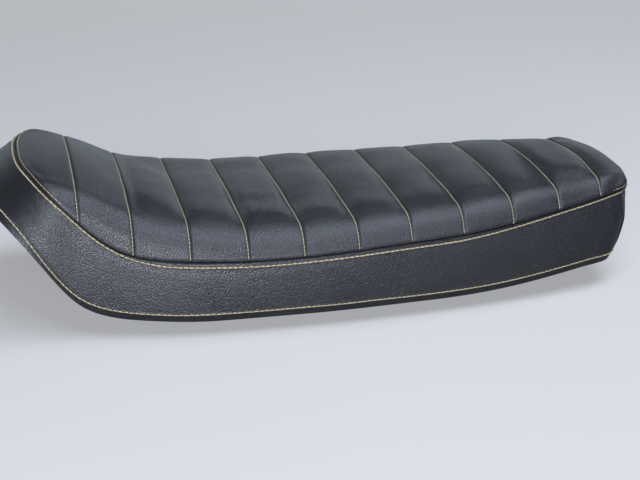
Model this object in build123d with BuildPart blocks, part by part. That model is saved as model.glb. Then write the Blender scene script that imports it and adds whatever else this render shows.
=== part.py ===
"""Pleated motorcycle seat with a kicked-up rear hump, on a pressed steel pan.

Millimetres, +X forward, +Y to the rider's left, +Z up. The origin is midway between the two bolt
holes of the mounting bar, on the face that bolts down to the frame.
"""

import os
from collections import namedtuple
from itertools import accumulate
from math import cos, hypot, radians, sin

from build123d import *

# Pleats, from the first seam in front of the hump to the last one before the nose
pleat_pitch = 50.0           # one tuck, seam to seam
kick_pitches = (46.0, 48.0)  # the two tucks that climb to the hump are a little narrower
even_pleats = 8              # tucks of the full pitch
puff = 1.8                   # how far a tuck stands proud of its seams

# Cover, foam and hem
cover = 3.0                  # vinyl with its scrim foam
fit = 0.3                    # soft pieces clear of what they wrap
hem_drop = 8.0               # from the lower stitch line down to the turned edge
hem_width = 22.0             # cover turned under the pan
hem_thick = 1.5
edge_turn = 2.5              # how far the band curls in at its lower edge
curl_room = 1.5              # the layers under the foam stand this much clear of the curl

# Pan
pan_thick = 2.0
drain_bore = 10.0
drain_spots = [(-62.0, 62.0), (110.0, 62.0), (218.0, 56.0)]   # ahead of the bolt line, and out
bead_length = 150.0          # two pressed beads stiffen the level part
bead_width = 14.0
bead_depth = 3.0
bead_out = 36.0
bead_middle = 128.0          # ahead of the bolt line

# Mounting bar: a hat section with its brim against the pan
mount_x = 169.0              # bolt line, forward of the first seam
bolt_spacing = 120.0
bolt_bore = 8.5
bar_length = 156.0
bar_crown = 30.0
bar_brim = 13.0
bar_thick = 3.0
bar_height = 15.5            # underside of the pan down to the bolt face
nut_flats = 13.0
nut_height = 6.5

# Front tongue
tongue_width = 50.0
tongue_thick = 3.0
tongue_root = 404.0          # its rear end, forward of the first seam
tongue_flat = 56.0           # the stretch fixed to the pan
tongue_tip = 516.0
tongue_step = 9.0            # how far it is cranked down
tongue_crank = 18.0          # length of the crank

# Rubber buffers that rest on the frame rails
buffer_length = 26.0
buffer_width = 16.0
buffer_height = 7.5
buffer_inset = 37.0          # from the edge of the band to the middle of the buffer
buffer_x = {"rear": 144.0, "middle": 244.0, "front": 344.0}

# Nose: the front face is part of a drum, seen from above
nose_x = 538.0               # foremost point of the front face, at the seam
nose_radius = 200.0
nose_rake = 26.0             # how far the lower edge sits back from the seam
nose_belly = 9.0             # how far the face bellies forward of a straight rake
corner_x = 521.0             # top of the corner seams, which are raked like the face

# Stations along the seat: half widths and heights of the lower stitch line and of the top seam, the
# rise of the crown above that seam, and the belly of the band between the two lines. x is forward
# of the first pleat seam, and heights are above the lower stitch line amidships.
Station = namedtuple("Station", "x base_half base_z seam_half seam_z rise belly")
rear_stations = [
    Station(-100.0, 104.0, 112.0, 92.0, 114.0, 5.0, 1.5),
    Station(-75.0, 105.0, 100.0, 93.0, 109.0, 8.0, 1.5),
    Station(-50.0, 107.0, 80.0, 95.0, 102.5, 20.2, 1.5),
    Station(-25.0, 109.0, 46.5, 97.0, 101.5, 20.5, 1.5),
]
# The same columns at each pleat seam, whose x comes from the pitches
seam_rows = [
    (111.0, 17.0, 101.0, 84.0, 32.8, 1.5),
    (118.0, 3.5, 111.0, 55.5, 39.8, 1.5),
    (124.0, 0.0, 119.0, 48.0, 36.0, 1.5),
    (126.0, 0.0, 123.0, 46.0, 31.0, 1.5),
    (126.0, 0.0, 124.0, 48.0, 28.0, 1.5),
    (124.0, 0.0, 123.0, 50.0, 27.0, 1.5),
    (120.0, 0.0, 119.0, 51.0, 28.0, 1.5),
    (115.0, 0.0, 113.0, 53.0, 28.0, 1.5),
    (108.0, 2.0, 105.0, 57.0, 27.0, 1.5),
    (99.0, 6.5, 94.0, 62.0, 25.0, 1.5),
    (87.0, 11.0, 80.0, 68.0, 20.0, 1.5),
]
front_stations = [
    Station(520.0, 80.0, 12.0, 70.0, 72.0, 14.5, 1.5),
    Station(548.0, 72.0, 13.0, 56.0, 75.0, 2.8, 1.5),
]
# The join of top and band in the side view, from the hump's crest to the nose
join_line = [
    (-50.8, 126.5), (-50.7, 123.9), (-48.9, 122.3), (-44.6, 121.1), (-39.5, 118.3), (-32.7, 113.5),
    (-25.3, 107.5), (-17.0, 99.5), (-8.6, 91.3), (0.0, 82.2), (15.4, 68.2), (33.9, 56.9),
    (51.2, 52.0), (72.0, 48.8), (94.0, 47.3), (144.0, 45.8), (194.0, 46.5), (244.0, 48.6),
    (294.0, 50.7), (344.0, 52.2), (394.0, 56.0), (444.0, 61.8), (494.0, 67.9), (520.0, 71.5),
    (548.0, 74.6), (598.0, 74.6),
]

# Rear end: seen from above it is half an ellipse, and its wall leans forward over the hump
rear_x = -81.0               # rearmost point of the lower stitch line
rear_z = 104.0
rear_length = 85.0
rear_half = 103.0
rear_flare = 0.2             # widening per length ahead of the ellipse
rear_lean = 36.0             # the wall's slope above level

kick_seams = list(accumulate(kick_pitches, initial=0.0))
seam_x = kick_seams + [kick_seams[-1] + pleat_pitch * n for n in range(1, even_pleats + 1)]
seam_stations = [Station(x, *row) for x, row in zip(seam_x, seam_rows)]
stations = rear_stations + seam_stations + front_stations

pan_drop = hem_drop - hem_thick          # lower stitch line down to the pan's underside
stitch_z = pan_drop + bar_height         # lower stitch line amidships, above the bolt face
reach = 2 * nose_radius                  # larger than the seat in any direction across


def steepness(row):
    """How much longer an upright height is than a thickness, where the base climbs."""
    i = stations.index(row)
    behind = stations[max(i - 1, 0)]
    ahead = stations[min(i + 1, len(stations) - 1)]
    return hypot(ahead.x - behind.x, ahead.base_z - behind.base_z) / (ahead.x - behind.x)


def between(rear, front):
    """The station halfway between two others."""
    return Station(*((a + b) / 2 for a, b in zip(rear, front)))


def body_section(row, low, inset=0.0, swell=0.0):
    """One cross-section: flat base, curled edge, bellied side, round shoulder and low crown."""
    stitch = stitch_z + row.base_z
    side = row.base_half - inset
    seam = stitch_z + row.seam_z - inset
    top = row.seam_half - inset
    crown = row.rise + swell
    run = hypot(side - top, seam - stitch)
    belly_y = (side + top) / 2 + row.belly * (seam - stitch) / run
    belly_z = (stitch + seam) / 2 + row.belly * (side - top) / run
    curl_y = side - 0.3 * edge_turn
    curl_z = (low + 2 * stitch) / 3
    edge = side - edge_turn
    shoulder = (0.94 * top + swell, seam + 0.5 * crown)
    brow = (0.74 * top, seam + 0.83 * crown)
    with BuildSketch(Plane.YZ.offset(row.x - mount_x)) as section:
        with BuildLine():
            Line((-edge, low), (edge, low))
            ThreePointArc((edge, low), (curl_y, curl_z), (side, stitch))
            ThreePointArc((side, stitch), (belly_y, belly_z), (top, seam))
            ThreePointArc((top, seam), shoulder, brow)
            ThreePointArc(brow, (0, seam + crown), (-brow[0], brow[1]))
            ThreePointArc((-brow[0], brow[1]), (-shoulder[0], shoulder[1]), (-top, seam))
            ThreePointArc((-top, seam), (-belly_y, belly_z), (-side, stitch))
            ThreePointArc((-side, stitch), (-curl_y, curl_z), (-edge, low))
        make_face()
    return section.sketch


def behind_nose(inset):
    """Everything behind the front face: a drum with a raked, bellied rim, and a block behind it."""
    axis_x = nose_x - nose_radius - mount_x
    rim = nose_radius - inset
    seam = stitch_z + front_stations[-1].seam_z
    with BuildPart() as region:
        with BuildSketch(Plane.XZ):
            with BuildLine():
                Polyline((axis_x + rim - nose_rake, 0), (axis_x + rim - nose_rake, -seam),
                         (axis_x, -seam), (axis_x, 2 * seam), (axis_x + rim, 2 * seam),
                         (axis_x + rim, seam))
                ThreePointArc((axis_x + rim, seam),
                              (axis_x + rim - nose_rake / 2 + nose_belly, seam / 2),
                              (axis_x + rim - nose_rake, 0))
            make_face()
        revolve(axis=Axis((axis_x, 0, 0), (0, 0, 1)))
        with Locations((axis_x, 0, -seam)):
            Box(2 * reach, 2 * rim, 3 * seam, align=(Align.MAX, Align.CENTER, Align.MIN))
    return region.part


def ahead_of_rear(inset):
    """Everything in front of the rear wall: a half ellipse pushed up along the wall's lean."""
    lean = radians(rear_lean)
    tip = rear_x - mount_x + inset / sin(lean)
    length = rear_length - inset / sin(lean)
    half = rear_half - inset
    flared = half + rear_flare * 2 * reach
    with BuildPart() as region:
        with BuildSketch(Plane.XY.offset(stitch_z + rear_z)):
            with BuildLine():
                EllipticalCenterArc((tip + length, 0), length, half, start_angle=90, arc_size=180)
                Polyline((tip + length, half), (tip + length + 2 * reach, flared),
                         (tip + length + 2 * reach, -flared), (tip + length, -half))
            make_face()
        extrude(amount=reach, dir=(cos(lean), 0, sin(lean)), both=True)
    return region.part


def over_seam(lift):
    """Everything over the join line, from the hump's crest to the nose."""
    points = [(x - mount_x, stitch_z + z + lift) for x, z in join_line]
    ceiling = stitch_z + reach
    with BuildPart() as region:
        with BuildSketch(Plane.XZ):
            with BuildLine():
                Spline(*points)
                Polyline(points[-1], (points[-1][0], ceiling), (points[0][0], ceiling), points[0])
            make_face()
        extrude(amount=reach, both=True)
    return region.part


def padded_form(floors, inset):
    """The body inside the cover's outer face or an inset of it, over a floor at each station."""
    with BuildPart() as form:
        loft([body_section(row, floor, inset) for row, floor in zip(stations, floors)],
             ruled=inset > 0)
        add(behind_nose(inset), mode=Mode.INTERSECT)
        add(ahead_of_rear(inset), mode=Mode.INTERSECT)
    return form.part


def floors_at(drop):
    """Heights a given thickness below the lower stitch line, one for each station."""
    return [stitch_z + row.base_z - drop * steepness(row) for row in stations]


def layer(under, over, inset):
    """A sheet that follows the base line, between two drops below the lower stitch line."""
    places = [row.x - mount_x for row in stations]
    upper = list(zip(places, floors_at(over)))
    lower = list(zip(places, floors_at(under)))
    left = [(x, row.base_half - inset) for x, row in zip(places, stations)]
    right = [(x, -y) for x, y in left]
    with BuildPart() as sheet:
        for plane, near, far, mode in ((Plane.XZ, upper, lower, Mode.ADD),
                                       (Plane.XY, left, right, Mode.INTERSECT)):
            with BuildSketch(plane):
                with BuildLine():
                    Spline(*near)
                    Spline(*far)
                    Line(near[0], far[0])
                    Line(near[-1], far[-1])
                make_face()
            extrude(amount=reach, both=True, mode=mode)
        add(behind_nose(inset), mode=Mode.INTERSECT)
        add(ahead_of_rear(inset), mode=Mode.INTERSECT)
    return sheet.part


# Cover strip round the foam: one band from corner to corner and a panel across the nose
with BuildPart() as cover_ring:
    add(padded_form(floors_at(hem_drop), 0))
    add(padded_form(floors_at(4 * hem_drop), cover), mode=Mode.SUBTRACT)
    add(over_seam(0), mode=Mode.SUBTRACT)

nose_seam = front_stations[-1].seam_z
corner_plane = Plane(origin=(corner_x - mount_x, 0, stitch_z + nose_seam), x_dir=(0, 1, 0),
                     z_dir=(nose_seam, 0, -nose_rake))
with BuildPart() as side_band:
    add(cover_ring.part)
    split(bisect_by=corner_plane, keep=Keep.BOTTOM)

with BuildPart() as front_panel:
    add(cover_ring.part)
    split(bisect_by=corner_plane.offset(fit), keep=Keep.TOP)

# Foam body on the pan, under the top panel
pan_top = pan_drop - pan_thick
with BuildPart() as foam_block:
    add(padded_form(floors_at(hem_drop), cover + fit))
    add(layer(4 * hem_drop, pan_top - fit, -hem_drop), mode=Mode.SUBTRACT)
    add(over_seam(-fit), mode=Mode.SUBTRACT)

# Top panel: one puffed loft for each tuck, joined along the seams
with BuildPart() as pleated_top:
    loft([body_section(row, stitch_z + row.base_z - hem_drop)
          for row in rear_stations + seam_stations[:1]])
    tucks = seam_stations + front_stations[:1]
    for rear, front in zip(tucks, tucks[1:]):
        rows = ((rear, 0), (between(rear, front), puff), (front, 0))
        loft([body_section(row, stitch_z + row.base_z - hem_drop, swell=swell)
              for row, swell in rows])
    loft([body_section(row, stitch_z + row.base_z - hem_drop) for row in front_stations])
    add(behind_nose(0), mode=Mode.INTERSECT)
    add(ahead_of_rear(0), mode=Mode.INTERSECT)
    add(over_seam(fit), mode=Mode.INTERSECT)

# Hem: the cover's edge turned under the pan
with BuildPart() as hem:
    add(layer(hem_drop, pan_drop + fit / 3, cover + curl_room))
    add(layer(hem_drop + pan_drop, 0, cover + hem_width), mode=Mode.SUBTRACT)

# Pressed pan with two beads and six drain holes
bead_spots = [(bead_middle, bead_out), (bead_middle, -bead_out)]
with BuildPart() as seat_pan:
    add(layer(pan_drop, pan_top, cover + curl_room))
    with BuildSketch(Plane.XY.offset(bar_height - bead_depth)):
        with Locations(*bead_spots):
            SlotOverall(bead_length, bead_width)
    extrude(amount=bead_depth + pan_thick / 2)
    with BuildSketch(Plane.XY.offset(bar_height - bead_depth + pan_thick)):
        with Locations(*bead_spots):
            SlotOverall(bead_length - 2 * pan_thick, bead_width - 2 * pan_thick)
    extrude(amount=bead_depth + pan_thick, mode=Mode.SUBTRACT)
    with Locations(*[(x, side * y, stitch_z) for x, y in drain_spots for side in (1, -1)]):
        Hole(drain_bore / 2)

# Mounting bar: a hat section across the pan, with the two bolt holes through its crown
brim_z = bar_height - fit - bar_thick / 2
web_x = (bar_crown - bar_thick) / 2
with BuildPart() as mount_bar:
    with BuildSketch(Plane.XZ):
        with BuildLine():
            Polyline((-web_x - bar_brim, brim_z), (-web_x, brim_z), (-web_x, bar_thick / 2),
                     (web_x, bar_thick / 2), (web_x, brim_z), (web_x + bar_brim, brim_z))
        trace(line_width=bar_thick)
    extrude(amount=bar_length / 2, both=True)
    with GridLocations(1, bolt_spacing, 1, 2):
        Hole(bolt_bore / 2)

# Nuts welded inside the bar over the holes
with BuildPart() as weld_nuts:
    with BuildSketch(Plane.XY.offset(bar_thick)):
        with GridLocations(1, bolt_spacing, 1, 2):
            RegularPolygon(nut_flats / 2, 6, major_radius=False)
            Circle(bolt_bore / 2, mode=Mode.SUBTRACT)
    extrude(amount=nut_height)

# Front tongue: flat against the rising pan, then cranked down to hook under a cross tube
nose_slope = (seam_stations[-1].base_z - seam_stations[-3].base_z) / (2 * pleat_pitch)
tongue_start_z = (bar_height - fit - tongue_thick / 2 + seam_stations[-3].base_z
                  + nose_slope * (tongue_root - seam_stations[-3].x))
crank_x = tongue_root + tongue_flat
crank_z = tongue_start_z + nose_slope * tongue_flat
with BuildPart() as front_tongue:
    with BuildSketch(Plane.XZ):
        with BuildLine():
            Polyline((tongue_root - mount_x, tongue_start_z), (crank_x - mount_x, crank_z),
                     (crank_x + tongue_crank - mount_x, crank_z - tongue_step),
                     (tongue_tip - mount_x, crank_z - tongue_step))
        trace(line_width=tongue_thick)
    extrude(amount=tongue_width / 2, both=True)

# Rubber buffers, in pairs along the level part of the pan
buffers = {}
for place, x in buffer_x.items():
    nearest = min(seam_stations, key=lambda row: abs(row.x - x))
    out = nearest.base_half - buffer_inset
    for side, y in (("left", out), ("right", -out)):
        with BuildPart() as pad:
            with BuildSketch(Plane.XY.offset(bar_height - fit)):
                with Locations((x - mount_x, y)):
                    SlotOverall(buffer_length, buffer_width)
            extrude(amount=-buffer_height)
        buffers[f"buffer_{place}_{side}"] = pad

pieces = {"foam_block": foam_block, "side_band": side_band, "front_panel": front_panel,
          "pleated_top": pleated_top, "hem": hem, "seat_pan": seat_pan, "mount_bar": mount_bar,
          "weld_nuts": weld_nuts, "front_tongue": front_tongue, **buffers}
os.makedirs("parts", exist_ok=True)
for name, piece in pieces.items():
    piece.part.label = name
    export_step(piece.part, f"parts/{name}.step")
    print(name, len(piece.part.solids()), round(piece.part.volume), piece.part.is_valid)
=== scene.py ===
"""Pleated motorcycle seat: leather cover, seams and thread, over the seat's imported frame.

Metres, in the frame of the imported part: +X forward, +Y to the rider's left, +Z up.
"""

from collections import namedtuple
from math import cos, pi, radians, sin

import bpy
import numpy as np
from mathutils import Matrix, Vector
from mathutils.bvhtree import BVHTree


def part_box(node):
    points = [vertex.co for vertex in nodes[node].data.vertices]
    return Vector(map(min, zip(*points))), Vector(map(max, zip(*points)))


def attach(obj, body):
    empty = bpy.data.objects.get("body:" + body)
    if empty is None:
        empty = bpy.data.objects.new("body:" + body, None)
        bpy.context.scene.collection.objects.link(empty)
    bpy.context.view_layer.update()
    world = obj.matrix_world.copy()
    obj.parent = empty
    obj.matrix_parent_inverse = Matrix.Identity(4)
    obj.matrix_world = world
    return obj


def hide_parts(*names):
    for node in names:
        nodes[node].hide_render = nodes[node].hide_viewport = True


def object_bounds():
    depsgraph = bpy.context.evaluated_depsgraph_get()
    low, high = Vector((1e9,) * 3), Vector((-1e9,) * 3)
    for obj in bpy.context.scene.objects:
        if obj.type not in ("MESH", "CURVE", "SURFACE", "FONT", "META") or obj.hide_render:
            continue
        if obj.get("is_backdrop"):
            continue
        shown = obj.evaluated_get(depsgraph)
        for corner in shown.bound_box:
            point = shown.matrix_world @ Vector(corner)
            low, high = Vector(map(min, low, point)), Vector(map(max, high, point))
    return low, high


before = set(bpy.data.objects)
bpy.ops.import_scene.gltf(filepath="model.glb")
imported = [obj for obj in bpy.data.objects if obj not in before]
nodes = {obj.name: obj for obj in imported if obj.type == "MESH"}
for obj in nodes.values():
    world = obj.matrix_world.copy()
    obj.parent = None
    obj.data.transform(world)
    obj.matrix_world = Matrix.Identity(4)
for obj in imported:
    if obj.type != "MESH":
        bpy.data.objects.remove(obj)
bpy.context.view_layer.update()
MM = 0.001

# Pleat seams, forward of the bolt line
SEAMS = [x * MM for x in (-171.5, -126, -77, -26, 24.5, 75, 125.5, 177, 228, 278, 325)]

# Where the seat's outline turns: centres of the fans of sections round the rear and the nose
REAR_CENTRE = -165 * MM
NOSE_CENTRE = 285 * MM
REAR_FAN = 36                 # steps of each fan
NOSE_FAN = 30
SIDE_STEPS = 30               # steps along each side
ACROSS = 61                   # points in each section across the top
PATCH_ROWS = 5                # rows in the patches at the rear and the nose
RING_OVERLAP = 8              # sections read again past both ends, so that the ring closes smoothly

NUDGE = 0.02 * MM             # keeps rays off the edges that two faces share
PAST = 1e-4                   # radians past a turn, so that a ray meets the piece beyond it
LOWEST, HIGHEST = radians(-75), radians(75)   # the outline turns between these angles
HALVINGS = 18

# Cover
CORNER_SEAM = 353 * MM        # top of the seams between band and front panel
# Each tuck's height over its seams, from the hump's own panel to the nose's
TUCK_HEIGHTS = np.array([0.5, 0.6, 3.5, 4.5, 4.7, 4.3, 3.8, 2.8, 3.5, 2.5, 5.4, 2.8]) * MM
# How far each seam pulls the cover down, and how far its middle lies in front of its ends
SEAM_SINKS = np.array([-0.5, -0.6, 3.0, 2.8, 2.8, 2.2, 1.8, 1.6, 1.0, 0.2, 2.8]) * MM
SEAM_BOWS = np.array([0, 0, 0.8, 0.8, 0.8, 0.8, 0.4, 0, 0, 0, 4.5]) * MM
CLOTH_FRAMES = 24
NOTCH_DEPTH = 1.5 * MM
NOTCH_WIDTH = 1.2 * MM
NOTCH_SHIFT = 0.9 * MM        # the fold lies this far in front of its thread
JOIN_DEPTH = 1.6 * MM
JOIN_ROLL = 1.0 * MM
JOIN_BEAD = 0.8 * MM          # the top rises beside the join
COVER_WAVE = 0.35 * MM        # unevenness of the cover, and of its edge beside the seams
PUCKER = 0.12 * MM
# From the join down to its topstitch, at places along the seat
WELT_PLACES = np.array([-190, -170, -150, -135, -118, -100, 176, 228, 277, 353]) * MM
WELT_WIDTHS = np.array([3.2, 2.8, 2.5, 2.6, 3.4, 4.7, 4.8, 3.3, 2.5, 2.3]) * MM
WELT_HEIGHT = 0.55 * MM
LOWER_STITCH = 8.0 * MM       # over the turned edge
STITCH_DEPTH = 0.5 * MM       # how far a row of stitches pulls the band in
CORNER_DEPTH = 1.9 * MM       # fold at the corner seams

# Thread: pitch of the stitches, length of one, radius
Thread = namedtuple("Thread", "pitch length radius")
PLEAT_THREAD = Thread(3.5 * MM, 3.3 * MM, 0.42 * MM)
WELT_THREAD = Thread(4.8 * MM, 4.3 * MM, 0.72 * MM)
INNER_THREAD = Thread(4.8 * MM, 4.2 * MM, 0.34 * MM)
LOWER_THREAD = Thread(4.8 * MM, 4.3 * MM, 0.55 * MM)
INNER_LINE = 2.3 * MM         # second row of stitches, over the join
HEM_WAVE = 0.7 * MM           # gathers of the turned edge
RIVET_PITCH = 46 * MM
RIVET_RADIUS = 4.6 * MM


def tree_of(*names):
    """Search tree of several CAD nodes, and the node that owns each of its faces."""
    points, faces, owners = [], [], []
    for name in names:
        mesh = nodes[name].data
        start = len(points)
        points += [v.co.copy() for v in mesh.vertices]
        faces += [[start + i for i in p.vertices] for p in mesh.polygons]
        owners += [name] * len(mesh.polygons)
    return BVHTree.FromPolygons(points, faces), owners


outer_tree, outer_owner = tree_of("pleated_top", "side_band", "front_panel", "hem", "seat_pan")


def skin(core, direction):
    """Outermost point of the seat seen from a core point, with its owner and normal."""
    place, normal, index, _ = outer_tree.ray_cast(core + 0.6 * direction, -direction)
    return place, outer_owner[index], normal


def core_at(x):
    """A point on the middle line of the seat, halfway between its crown and its pan."""
    x = min(max(x, REAR_CENTRE), NOSE_CENTRE) + NUDGE
    crown = outer_tree.ray_cast(Vector((x, 0, 1)), Vector((0, 0, -1)))[0]
    base = outer_tree.ray_cast(Vector((x, 0, -1)), Vector((0, 0, 1)))[0]
    return Vector((x, NUDGE, (crown.z + base.z) / 2))


def ring_sections():
    """Half planes round the seat, clockwise from the nose's right: core point and outward direction."""
    sections = []
    for x in np.linspace(NOSE_CENTRE, REAR_CENTRE, SIDE_STEPS, endpoint=False):
        sections.append((core_at(x), Vector((0, -1, 0))))
    for a in np.linspace(0, pi, REAR_FAN, endpoint=False):
        sections.append((core_at(REAR_CENTRE), Vector((-sin(a), -cos(a), 0))))
    for x in np.linspace(REAR_CENTRE, NOSE_CENTRE, SIDE_STEPS, endpoint=False):
        sections.append((core_at(x), Vector((0, 1, 0))))
    for a in np.linspace(0, pi, NOSE_FAN, endpoint=False):
        sections.append((core_at(NOSE_CENTRE), Vector((sin(a), cos(a), 0))))
    return sections


def aim(out, angle):
    """Direction at an angle above level in the half plane that looks out."""
    return cos(angle) * out + sin(angle) * Vector((0, 0, 1))


def kind_of(core, out, angle):
    """Which skin a ray meets: 0 the pan, 1 the hem, 2 the band and 3 the top."""
    _, owner, normal = skin(core, aim(out, angle))
    if owner == "pleated_top":
        return 3 if normal.z > -0.5 else 0
    if owner in ("side_band", "front_panel"):
        return 2 if normal.dot(out) > 0.3 and normal.z > -0.55 else 1
    return 1 if owner == "hem" else 0


def halved(low, high, past):
    """Angles just before and just past the turn where a test becomes true."""
    for _ in range(HALVINGS):
        middle = (low + high) / 2
        low, high = (low, middle) if past(middle) else (middle, high)
    return low, high


def turn_angle(core, out, kind, low, high):
    """Angle where the skin passes from below a kind to that kind."""
    return halved(low, high, lambda angle: kind_of(core, out, angle) >= kind)[1]


def band_top(core, out, low, high):
    """Highest angle that still meets the band."""
    return halved(low, high, lambda angle: kind_of(core, out, angle) != 2)[0]


def along(points):
    """Distance along a row of points."""
    return np.concatenate([[0.0], np.cumsum(np.linalg.norm(np.diff(points, axis=0), axis=1))])


def cubic(knots, values, at):
    """Natural cubic spline through values at knots, read at other places; works on any columns."""
    knots, values, at = np.asarray(knots), np.asarray(values), np.asarray(at)
    flat = values.reshape(len(knots), -1)
    gap = np.diff(knots)
    matrix = np.eye(len(knots))
    right = np.zeros_like(flat)
    for i in range(1, len(knots) - 1):
        matrix[i, i - 1:i + 2] = gap[i - 1], 2 * (gap[i - 1] + gap[i]), gap[i]
        right[i] = 6 * ((flat[i + 1] - flat[i]) / gap[i] - (flat[i] - flat[i - 1]) / gap[i - 1])
    bend = np.linalg.solve(matrix, right)
    i = np.clip(np.searchsorted(knots, at) - 1, 0, len(gap) - 1)
    g = gap[i][:, None]
    b = ((at - knots[i])[:, None]) / g
    a = 1 - b
    found = a * flat[i] + b * flat[i + 1] + ((a**3 - a) * bend[i] + (b**3 - b) * bend[i + 1]) * g**2 / 6
    return found.reshape((len(at),) + values.shape[1:])


def resample(points, count):
    """The same row of points, evenly spaced along its length."""
    far = along(points)
    return cubic(far, points, np.linspace(0, far[-1], count))


def soften(rows, rounds, closed):
    """Light smoothing along the first axis, which takes out the facets of the frame."""
    rows = rows.copy()
    for _ in range(rounds):
        for share in (0.5, -0.52):
            if closed:
                rows += share * ((np.roll(rows, 1, 0) + np.roll(rows, -1, 0)) / 2 - rows)
            else:
                rows[1:-1] += share * ((rows[2:] + rows[:-2]) / 2 - rows[1:-1])
    return rows


def trace_ring():
    """Control rows round the seat: under the hem, up the band to the join, for each section."""
    hem_rows, band_rows = [], []
    for core, out in ring_sections():
        join = turn_angle(core, out, 3, radians(-5), HIGHEST)
        edge = turn_angle(core, out, 2, radians(-60), join)
        inner = turn_angle(core, out, 1, LOWEST, edge)
        upper = band_top(core, out, (edge + join) / 2, join)
        band = [skin(core, aim(out, a))[0] for a in np.linspace(edge, upper, 40)]
        band[-1] = skin(core, aim(out, join + PAST))[0]
        under = [skin(core, aim(out, a))[0] for a in np.linspace(inner, edge - PAST, 12)]
        band_rows.append(resample(np.array(band), 15))
        hem_rows.append(resample(np.array(under), 5))
    return np.array(hem_rows), np.array(band_rows)


hem_net, band_net = trace_ring()
band_net = soften(band_net, 3, closed=True)
hem_net = soften(hem_net, 3, closed=True)
hem_net[:, -1] = band_net[:, 0]


ring_join = band_net[:, -1]
ring_gap = np.linalg.norm(np.roll(ring_join, -1, 0) - ring_join, axis=1)
ring_knots = np.concatenate([[0.0], np.cumsum(ring_gap)])
ring_length = ring_knots[-1]


def ring_at(rows, places):
    """Rows of the closed ring read at distances along the join."""
    past = RING_OVERLAP
    knots = np.concatenate([ring_knots[-past - 1:-1] - ring_length, ring_knots[:-1],
                            ring_knots[:past] + ring_length])
    rows = np.concatenate([rows[-past:], rows, rows[:past]])
    return cubic(knots, rows, np.asarray(places) % ring_length)


# The sections where the fans round the rear and the nose start
REAR_START = SIDE_STEPS
NOSE_START = 2 * SIDE_STEPS + REAR_FAN


def join_place(x, side):
    """Distance along the join where it passes a section at x, on the right (-1) or left (1)."""
    fine = np.linspace(0, ring_length, 6000, endpoint=False)
    line = ring_at(ring_join, fine)
    good = line[:, 1] * side > 0
    return fine[good][np.argmin(np.abs(line[good][:, 0] - x))]


def turn_of(index_low, index_high):
    """Distance along the join where its plan turns most, between two sections."""
    fine = np.linspace(ring_knots[index_low], ring_knots[index_high], 400)
    line = ring_at(ring_join, fine)
    run = np.diff(line[:, :2], axis=0)
    heading = np.unwrap(np.arctan2(run[:, 1], run[:, 0]))
    bend = np.abs(heading[12:] - heading[:-12])
    return fine[np.argmax(bend) + 6]


def column_at(x):
    """The top's outline in one upright section, from the right join over the crown to the left."""
    core = Vector((x + NUDGE, NUDGE, core_at(x).z))
    ends = []
    for out in (Vector((0, -1, 0)), Vector((0, 1, 0))):
        ends.append(turn_angle(core, out, 3, radians(-5), HIGHEST) + PAST)
    angles = np.linspace(ends[0], pi - ends[1], 160)
    points = [skin(core, aim(Vector((0, -1, 0)), a))[0] for a in angles]
    return soften(resample(np.array(points), ACROSS), 4, closed=False)


def project(point):
    """The skin straight out from the core past a point near it."""
    core = core_at(point[0])
    away = Vector(point) - core
    return np.array(skin(core, away.normalized())[0])


def patch(near, far, left, right):
    """Rows between two rows, filled from the four sides and laid on the skin."""
    rows = []
    across = np.linspace(0, 1, len(near))[:, None]
    for i, u in enumerate(np.linspace(0, 1, len(left))):
        sides = (1 - across) * left[i] + across * right[i]
        ends = (1 - u) * near + u * far
        corners = ((1 - u) * ((1 - across) * near[0] + across * near[-1])
                   + u * ((1 - across) * far[0] + across * far[-1]))
        rows.append(sides + ends - corners)
    for i in range(1, len(rows) - 1):
        for j in range(1, len(near) - 1):
            rows[i][j] = project(rows[i][j])
        rows[i] = resample(soften(rows[i], 4, closed=False), len(near))
    return rows


seam_columns = [column_at(x) for x in SEAMS]

# The rear patch of the top, from the hump's crest to the first seam
first_right, first_left = join_place(SEAMS[0], -1), join_place(SEAMS[0], 1)
rear_right = ring_knots[REAR_START + REAR_FAN * 2 // 9]
rear_left = ring_knots[REAR_START + REAR_FAN * 7 // 9]
crest = resample(ring_at(ring_join, np.linspace(rear_right, rear_left, ACROSS)), ACROSS)
rear_side_r = ring_at(ring_join, np.linspace(rear_right, first_right, PATCH_ROWS))
rear_side_l = ring_at(ring_join, np.linspace(rear_left, first_left, PATCH_ROWS))
seam_columns[0][0], seam_columns[0][-1] = rear_side_r[-1], rear_side_l[-1]
rear_rows = patch(crest, seam_columns[0], rear_side_r, rear_side_l)[:-1]

# The nose patch, from the last seam to the front panel
last_right, last_left = join_place(SEAMS[-1], -1), join_place(SEAMS[-1], 1)
nose_left = turn_of(NOSE_START, NOSE_START + NOSE_FAN // 2)
nose_right = turn_of(NOSE_START + NOSE_FAN // 2, NOSE_START + NOSE_FAN)
brow = resample(ring_at(ring_join, np.linspace(nose_right, nose_left, ACROSS)), ACROSS)
if last_right < nose_right:
    last_right += ring_length
nose_side_r = ring_at(ring_join, np.linspace(last_right, nose_right, PATCH_ROWS))
nose_side_l = ring_at(ring_join, np.linspace(last_left, nose_left, PATCH_ROWS))
seam_columns[-1][0], seam_columns[-1][-1] = nose_side_r[0], nose_side_l[0]
nose_rows = patch(seam_columns[-1], brow, nose_side_r, nose_side_l)[1:]

for column, x in zip(seam_columns[1:-1], SEAMS[1:-1]):
    column[0] = ring_at(ring_join, [join_place(x, -1)])[0]
    column[-1] = ring_at(ring_join, [join_place(x, 1)])[0]

top_rows = rear_rows + seam_columns + nose_rows
top_knots = along(np.array([row[ACROSS // 2] for row in top_rows]))
seam_knots = top_knots[len(rear_rows):len(rear_rows) + len(SEAMS)]
bounds_knots = [0.0, *seam_knots, top_knots[-1]]

TOP_STEP = 3.4 * MM           # longest step along the top
TOP_MIDDLE = 96               # even steps across it
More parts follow.
